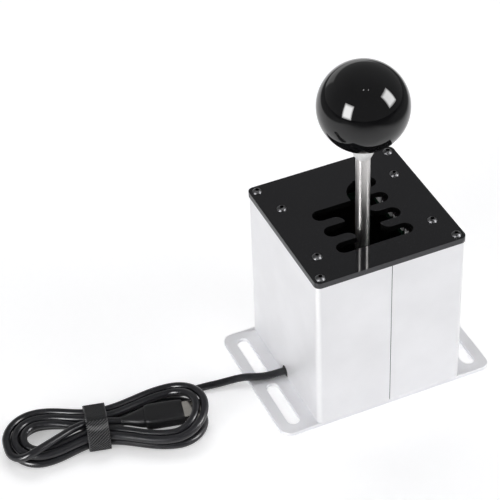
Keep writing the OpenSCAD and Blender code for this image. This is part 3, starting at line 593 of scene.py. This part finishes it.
def woven_strap(name, twill, light, fold_mm=0):
    """Black hook-and-loop tape: a slanting twill, fuzz that scatters light and pale edge threads.

    Its UVs run along and across it in millimetres. At fold_mm along it, a fold's raised threads are painted
    pale, a painted highlight.
    """
    finish = Finish(name, (0.012, 0.012, 0.013), 0.8, specular=0.2)
    finish.put("Sheen Weight", 0.06)
    finish.put("Sheen Roughness", 0.4)
    uv = finish.split(finish.coordinates(source="UV"))
    ridge = finish.sine(finish.times(finish.plus(uv["X"], finish.times(uv["Y"], 0.8)), FULL * 0.62))
    cross = finish.sine(finish.times(uv["Y"], FULL * 1.1))
    weave = finish.plus(finish.times(ridge, 0.5), finish.times(cross, 0.2))
    height = finish.plus(finish.times(weave, twill), finish.noise(1900, 4, 0.7))
    thread = finish.spread(height, 0, 1, 0.25, 1.1)
    finish.color(finish.mix(thread, (0.006, 0.006, 0.007), (light, light, light * 1.02)))
    if fold_mm:
        # Painted highlight: the fold's raised threads are painted pale, where the bulge catches the light.
        bow = finish.times(uv["Y"], uv["Y"], 0.045)
        off = finish.absolute(finish.minus(finish.plus(uv["X"], bow), fold_mm))
        fold_highlight = finish.times(finish.ramp(off, (0.6, 2.4), 1.0, 0.0),
                              finish.spread(thread, 0.25, 1.0, 0.0, 1.0))
        finish.tint(fold_highlight, (0.20, 0.20, 0.20))
    edge = finish.ramp(finish.absolute(uv["Y"]), (TIE_W * MM * 0.44, TIE_W * MM * 0.5), 0.0, 1.0)
    stitch = finish.spread(finish.sine(finish.times(uv["X"], FULL * 0.7)), 0, 1, -0.2, 0.9)
    finish.tint(finish.times(edge, stitch), (0.16, 0.16, 0.165))
    return finish.bump(height, 0.7, 0.00025)


aluminium = satin_aluminium("anodised_aluminium", (0.905, 0.905, 0.925), 0.44, 0.34, INNER_HALF)
sheet_metal = satin_aluminium("sheet_aluminium", (0.875, 0.875, 0.90), 0.42, 0.34)
acrylic = black_acrylic()
knob_black = gloss_black("knob_black", (0.0045, 0.0045, 0.005), 0.035, 0.45)
plug_black = plastic("plug_black", (0.008, 0.008, 0.009), 0.42, 0.35)
jacket = cable_jacket("cable_jacket")
rod_steel = turned_steel("rod_steel", (0.80, 0.78, 0.77), 0.30, 1.0, 0.85)
# Painted reflection: the polished collar is painted near white and all but non-metallic, standing in for the
# white floor that it mirrors.
collar_painted_white = turned_steel("collar_painted_white", (0.98, 0.98, 0.98), 0.50, 0.08, 0.3)
dark_steel = metal("dark_steel", (0.095, 0.095, 0.10), 0.36)
corner_steel = screw_steel("corner_screw_steel", CORNER_AT, CORNER_AT)
inner_steel = screw_steel("inner_screw_steel", INNER_X, INNER_Y, INNER_MID)
zinc = metal("zinc_steel", (0.66, 0.66, 0.67), 0.28)
# Painted glint: the springs and switch blades are painted near white and only a little metallic, so that
# they glint in the dark slots.
spring_steel_glint = metal("spring_steel_glint", (0.95, 0.95, 0.95), 0.35, 0.2)
machined = metal("machined_steel", (0.10, 0.10, 0.105), 0.42)
brass = metal("brass", (0.72, 0.53, 0.25), 0.28)
nickel = metal("nickel", (0.80, 0.77, 0.72), 0.20)
switch_plastic = plastic("switch_plastic", (0.010, 0.008, 0.009), 0.55, 0.1)
chip_plastic = plastic("chip_plastic", (0.016, 0.016, 0.017), 0.55)
white_plastic = plastic("white_plastic", (0.80, 0.80, 0.77), 0.42)
rubber = plastic("rubber", (0.018, 0.018, 0.019), 0.62, 0.35)
# Painted shade: the solder mask is painted near black, far darker than its green, for the shade under the
# gate plate.
solder_mask_shade = plastic("solder_mask", (0.003, 0.014, 0.008), 0.60, 0.06)
strap = woven_strap("woven_strap", 0.2, 0.030)
strap_end = woven_strap("woven_strap_end", 1.1, 0.085, LAP_FOLD_MM)

# Which finish each node shows, and how far its edges are rounded off
DRESS = [
    (aluminium, FINE_EDGE, ["housing_left", "housing_right"]),
    (sheet_metal, SOFT_EDGE, ["base_plate"]),
    (acrylic, SOFT_EDGE, ["gate_plate"]),
    (corner_steel, 0, ["corner_screws"]),
    (inner_steel, 0, ["inner_screws"]),
    (dark_steel, 0, ["base_screws", "hub_set_screw"]),
    (zinc, 0, ["board_screws", "bracket_screws", "clamp_screw", "shift_axle", "axle_nut"]),
    (spring_steel_glint, 0, ["centring_springs", "switch_blades"]),
    (machined, 0, ["bracket_left", "bracket_right", "select_yoke", "lever_hub"]),
    (rod_steel, 0, ["lever_rod"]),
    (collar_painted_white, FINE_EDGE, ["knob_collar"]),
    (brass, 0, ["standoffs", "knob_insert", "bush_left", "bush_right"]),
    (switch_plastic, 0, ["switch_reverse", "switch_first", "switch_second", "switch_third", "switch_fourth",
                         "switch_fifth", "switch_sixth"]),
    (chip_plastic, 0, ["controller_chip"]),
    (solder_mask_shade, 0, ["switch_board"]),
    (white_plastic, 0, ["board_connector", "cable_clamp", "friction_washers", "plug_tongue"]),
    (rubber, FINE_EDGE, ["cable_grommet"]),
    (nickel, 0, ["plug_shell"]),
    (knob_black, 0, ["ball_knob"]),
    (plug_black, 0, ["plug_body"]),
    (jacket, 0, ["usb_lead", "usb_hank", "usb_tail"]),
    (strap, 0, ["hank_tie"]),
]


def paint(obj, finish):
    """Gives an object one finish all over."""
    obj.data.materials.clear()
    obj.data.materials.append(finish.material)


def round_edges(obj, width):
    """Rounds a CAD node's sharp edges, so that they catch the light."""
    weld = obj.modifiers.new("weld", "WELD")
    weld.merge_threshold = WELD_WITHIN
    bevel = obj.modifiers.new("bevel", "BEVEL")
    bevel.width = width
    bevel.segments = EDGE_SEGMENTS
    bevel.limit_method = "ANGLE"
    bevel.angle_limit = EDGE_ANGLE
    bevel.harden_normals = True


for finish, edge, names in DRESS:
    for name in names:
        paint(NODES[name], finish)
        if edge:
            round_edges(NODES[name], edge)


def mesh_piece(name, verts, faces, finish):
    """A new smooth mesh object in the part's frame."""
    mesh = bpy.data.meshes.new(name)
    mesh.from_pydata([tuple(v) for v in verts], [], faces)
    mesh.validate()
    mesh.update()
    mesh.polygons.foreach_set("use_smooth", [True] * len(mesh.polygons))
    obj = link(bpy.data.objects.new(name, mesh))
    paint(obj, finish)
    return obj


def stitched(rings):
    """Faces between rings of points of the same count, and the caps at both ends."""
    n = len(rings[0])
    verts = [p for ring in rings for p in ring]
    faces = []
    for i in range(len(rings) - 1):
        for j in range(n):
            k = (j + 1) % n
            faces.append((i * n + j, i * n + k, (i + 1) * n + k, (i + 1) * n + j))
    faces.append(tuple(range(n - 1, -1, -1)))
    faces.append(tuple((len(rings) - 1) * n + j for j in range(n)))
    return verts, faces


def make_knob():
    """The ball: a turned sphere with a small flat and a rounded mouth where the collar meets it."""
    low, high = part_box("ball_knob")
    radius = (high.x - low.x) / 2
    centre = Vector(((low.x + high.x) / 2, (low.y + high.y) / 2, high.z - radius))
    flat_z = low.z - centre.z
    flat_r = math.sqrt(radius * radius - flat_z * flat_z)
    start = math.asin(flat_z / radius) + KNOB_LIP / radius
    top = math.pi / 2 - KNOB_POLE
    profile = [(KNOB_BORE_R, flat_z + KNOB_BORE_DEPTH), (KNOB_BORE_R, flat_z), (flat_r - KNOB_LIP, flat_z),
               (flat_r - KNOB_LIP * 0.35, flat_z + KNOB_LIP * 0.15)]
    for i in range(KNOB_STEPS + 1):
        angle = start + (top - start) * i / KNOB_STEPS
        profile.append((radius * math.cos(angle), radius * math.sin(angle)))
    turns = [j * FULL / KNOB_SEGMENTS for j in range(KNOB_SEGMENTS)]
    rings = [[centre + Vector((r * math.cos(turn), r * math.sin(turn), z)) for turn in turns]
             for r, z in profile]
    knob = mesh_piece("ball_knob_gloss", *stitched(rings), knob_black)
    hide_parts("ball_knob")
    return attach(knob, "lever")


def superellipse(half_w, half_h, power):
    """Points of a rounded rectangle as (y, z)."""
    out = []
    for j in range(PLUG_POINTS):
        c, s = math.cos(j * FULL / PLUG_POINTS), math.sin(j * FULL / PLUG_POINTS)
        out.append((half_w * math.copysign(abs(c) ** (2 / power), c),
                    half_h * math.copysign(abs(s) ** (2 / power), s)))
    return out


def make_plug():
    """The moulded plug body and the long tapered boot that leads into it, in the hank's frame."""
    sections = []
    for i in range(BOOT_STEPS + 1):
        share = i / BOOT_STEPS
        swell = smooth(share * BOOT_SWELL)
        sections.append((PLUG_X - BOOT_L * (1 - share), BOOT_R + (PLUG_W * BOOT_WIDE - BOOT_R) * swell,
                         BOOT_R + (PLUG_T * BOOT_THICK - BOOT_R) * swell,
                         ROUND_POWER + BOOT_POWER_RISE * swell))
    for share, wide, thick in PLUG_SECTIONS:
        sections.append((PLUG_X + PLUG_L * share, PLUG_W / 2 * wide, PLUG_T / 2 * thick, BODY_POWER))
    rings = []
    for x, half_w, half_h, power in sections:
        rings.append([place((x, y, PLUG_Z + z)) for y, z in superellipse(half_w, half_h, power)])
    plug = mesh_piece("plug_moulding", *stitched(rings), plug_black)
    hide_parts("plug_body")
    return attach(plug, "housing")


def hull_outline(points):
    """The convex hull of 2D points, counter-clockwise."""
    points = sorted(set(points))

    def half(run):
        out = []
        for p in run:
            while len(out) > 1 and ((out[-1][0] - out[-2][0]) * (p[1] - out[-2][1])
                                    - (out[-1][1] - out[-2][1]) * (p[0] - out[-2][0])) <= 0:
                out.pop()
            out.append(p)
        return out[:-1]

    return half(points) + half(points[::-1])


def even_outline(outline, count):
    """The closed outline again, as that many points an even distance apart, and its length."""
    closed = [Vector(p) for p in outline + outline[:1]]
    steps = [(b - a).length for a, b in zip(closed, closed[1:])]
    total = sum(steps)
    out, i, passed = [], 0, 0.0
    for j in range(count):
        want = total * j / count
        while passed + steps[i] < want:
            passed += steps[i]
            i += 1
        out.append(closed[i].lerp(closed[i + 1], (want - passed) / steps[i]))
    return out, total


def tie_section(radius):
    """The tie's section about the strands it holds, grown by radius: points (y, z) in the hank's frame."""
    share = TIE_W / 2 / LOBE_LEFT * QUARTER_SHARE / 2
    strands = [loop_point(QUARTER_SHARE / 2 + i / 2 + edge * share)
               for i in range(int(2 * LOOPS) + 1) for edge in (-1, 0, 1)]
    strands += [Vector(p) for p in TAIL_ROUTE[TIED]]
    turns = [j * FULL / SECTION_DOTS for j in range(SECTION_DOTS)]
    dots = [(p.y + radius * math.cos(turn), p.z + radius * math.sin(turn))
            for p in strands for turn in turns]
    return even_outline(hull_outline(dots), TIE_STEPS)


def strap_band(name, inner, outer, first, last, width, teeth, finish):
    """A band of strap with pinked edges, between two section radii and along a share of the section."""
    low, _ = tie_section(inner)
    high, total = tie_section(outer)
    steps = [i % TIE_STEPS for i in range(round(first * TIE_STEPS), round(last * TIE_STEPS) + 1)]
    verts, uvs = [], []
    for layer in (high, low):
        for n, i in enumerate(steps):
            tooth = teeth if n % 4 < 2 else -teeth
            for j in range(TIE_ACROSS + 1):
                x = (j / TIE_ACROSS - 0.5) * width
                if j == 0:
                    x += tooth
                if j == TIE_ACROSS:
                    x += tooth * BACK_TEETH_SHARE
                y, z = layer[i]
                verts.append(place((x, y, z)))
                uvs.append((n * total / TIE_STEPS * MM, x * MM))
    ring = TIE_ACROSS + 1
    side = len(steps) * ring
    faces = []
    for n in range(len(steps) - 1):
        for j in range(TIE_ACROSS):
            a = n * ring + j
            faces.append((a + ring, a + ring + 1, a + 1, a))
            faces.append((side + a + 1, side + a + ring + 1, side + a + ring, side + a))
        a = n * ring
        faces.append((side + a, side + a + ring, a + ring, a))
        a = n * ring + TIE_ACROSS
        faces.append((a + ring, side + a + ring, side + a, a))
    for j in range(TIE_ACROSS):
        faces.append((j + 1, side + j + 1, side + j, j))
        a = (len(steps) - 1) * ring + j
        faces.append((side + a, side + a + 1, a + 1, a))
    obj = mesh_piece(name, verts, faces, finish)
    layer = obj.data.uv_layers.new(name="UVMap")
    for loop in obj.data.loops:
        layer.data[loop.index].uv = uvs[loop.vertex_index]
    return obj


def make_tie():
    """The hook-and-loop tie: one turn round the waist and a lapped end over its front."""
    inner = CABLE_R + TIE_GAP
    turn = strap_band("hank_tie_turn", inner, inner + TIE_T, 0.0, 1.0, TIE_W, TURN_TEETH, strap)
    lap = strap_band("hank_tie_lap", inner + TIE_T * LAP_IN, inner + TIE_T * LAP_OUT, LAP_FROM, LAP_TO,
                     TIE_W * LAP_WIDE, LAP_TEETH, strap_end)
    for piece in (turn, lap):
        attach(piece, "housing")
    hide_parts("hank_tie")
    return [turn, lap]


knob = make_knob()
plug = make_plug()
tie = make_tie()

for piece in (cable, cable_inside):
    paint(piece, jacket)
    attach(piece, "housing")
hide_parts("usb_lead", "usb_hank", "usb_tail")


def panel(name, half_w, half_h, finish):
    """A flat rectangle around the origin."""
    mesh = bpy.data.meshes.new(name)
    corners = [(-half_w, -half_h, 0), (half_w, -half_h, 0), (half_w, half_h, 0), (-half_w, half_h, 0)]
    mesh.from_pydata(corners, [], [(0, 1, 2, 3)])
    obj = link(bpy.data.objects.new(name, mesh))
    paint(obj, finish)
    return obj


def make_floor():
    """A pale floor that shows white and keeps the shadow of the part; mirrors see where the paper ends."""
    finish = Finish("floor_white", FLOOR_WHITE, 0.85, specular=0.1)
    finish.rough(finish.spread(finish.noise(3), 0.82, 0.88))
    at = finish.position()
    ahead = finish.along(at, FORWARD)
    across = finish.along(at, RIGHTWARD)
    paper = finish.times(finish.ramp(ahead, PAPER_NEAR, 0.06, 1.0),
                         finish.ramp(across, PAPER_LEFT, 0.12, 1.0),
                         finish.ramp(across, PAPER_RIGHT, 1.0, 0.10))
    mirrored = finish.reflected()
    shown = finish.plus(finish.times(mirrored, paper), finish.minus(1.0, mirrored))
    finish.color(finish.mix(shown, (0.03, 0.03, 0.03), FLOOR_WHITE))
    far = finish.ramp(finish.distance(ahead, across), (0.4, 1.6), FLOOR_GLOW, FAR_GLOW)
    finish.put("Emission Color", (1, 1, 1, 1))
    finish.put("Emission Strength", finish.plus(finish.times(finish.ray("Camera"), far),
                                                finish.times(mirrored, paper, FLOOR_GLOW)))
    floor = panel("floor", FLOOR_HALF, FLOOR_HALF, finish)


def make_world():
    """White for the camera and plain for the lighting; mirrors see a low backdrop and a dim studio above."""
    world = bpy.data.worlds.new("studio")
    SCENE.world = world
    world.use_nodes = True
    sky = Nodes(world.node_tree)
    at = sky.split(sky.node("ShaderNodeTexCoord").outputs["Generated"])
    ahead = sky.along(at, FORWARD)
    across = sky.along(at, RIGHTWARD)
    # The backdrop's upper edge rises to the left
    top_edge = sky.plus(at["Z"], sky.times(across, BACKDROP_SLOPE))
    backdrop = sky.times(sky.ramp(top_edge, BACKDROP_TOP, 1.0, 0.0),
                         sky.ramp(across, BACKDROP_RIGHT, 1.0, 0.0),
                         sky.ramp(across, BACKDROP_LEFT, 0.0, 1.0),
                         sky.ramp(ahead, (0.0, 0.3), 0.0, 1.0))
    room = sky.ramp(ahead, (-0.3, 0.6), ROOM_FRONT, ROOM_BACK)
    mirrored = sky.reflected()
    plain = sky.times(sky.minus(1.0, mirrored), PLAIN_LIGHT)
    strength = sky.plus(sky.times(mirrored, sky.larger(backdrop, room)), plain)
    back = sky.tree.nodes["Background"]
    sky.feed(back.inputs["Color"], (1, 1, 1, 1))
    sky.feed(back.inputs["Strength"], sky.larger(strength, sky.ray("Camera")))


def softbox(name, direction, distance, size, watts=0, card_light=0):
    """A soft lamp that shines towards the part, and a card in its place that only reflections show."""
    stands = []
    if watts:
        lamp = bpy.data.lights.new(name, "AREA")
        lamp.shape = "RECTANGLE"
        lamp.size, lamp.size_y = size
        lamp.energy = watts
        holder = link(bpy.data.objects.new(name, lamp))
        holder.visible_glossy = False
        stands.append(holder)
    if card_light:
        half_w, half_h = size[0] / 2, size[1] / 2
        finish = Finish(name + "_card", (1, 1, 1), 1.0)
        at = finish.position()
        border = finish.larger(finish.absolute(finish.math("DIVIDE", at["X"], half_w)),
                               finish.absolute(finish.math("DIVIDE", at["Y"], half_h)))
        finish.put("Emission Color", (1, 1, 1, 1))
        finish.put("Emission Strength",
                   finish.ramp(border, (CARD_FALL_FROM, 1.0), card_light, card_light / CARD_FALL))
        card = panel(name + "_card", half_w, half_h, finish)
        card.visible_camera = False
        card.visible_diffuse = False
        card.visible_shadow = False
        card.visible_transmission = False
        stands.append(card)
    for stand in stands:
        stand.location = Vector(direction).normalized() * distance + Vector((0, 0, AIM_HEIGHT))
        stand.rotation_mode = "QUATERNION"
        stand.rotation_quaternion = (-Vector(direction)).to_track_quat("-Z", "Y")


make_floor()
make_world()
softbox("key_left", (-0.863, -0.397, 0.307), distance=1.6, size=(0.66, 0.98), watts=7.4, card_light=22)
softbox("fill_right", (0.69, -0.52, 0.50), distance=1.6, size=(0.76, 0.94), watts=5.3, card_light=17)
softbox("top_back", (0.1, 0.55, 0.83), distance=1.6, size=(1.2, 0.8), watts=7)
softbox("ceiling_spot_left", (-0.115, -0.235, 0.966), distance=2.2, size=(0.045, 0.045), card_light=60)
softbox("ceiling_spot_right", (0.055, -0.30, 0.953), distance=2.2, size=(0.045, 0.045), card_light=60)
SCENE.view_settings.view_transform = "Standard"
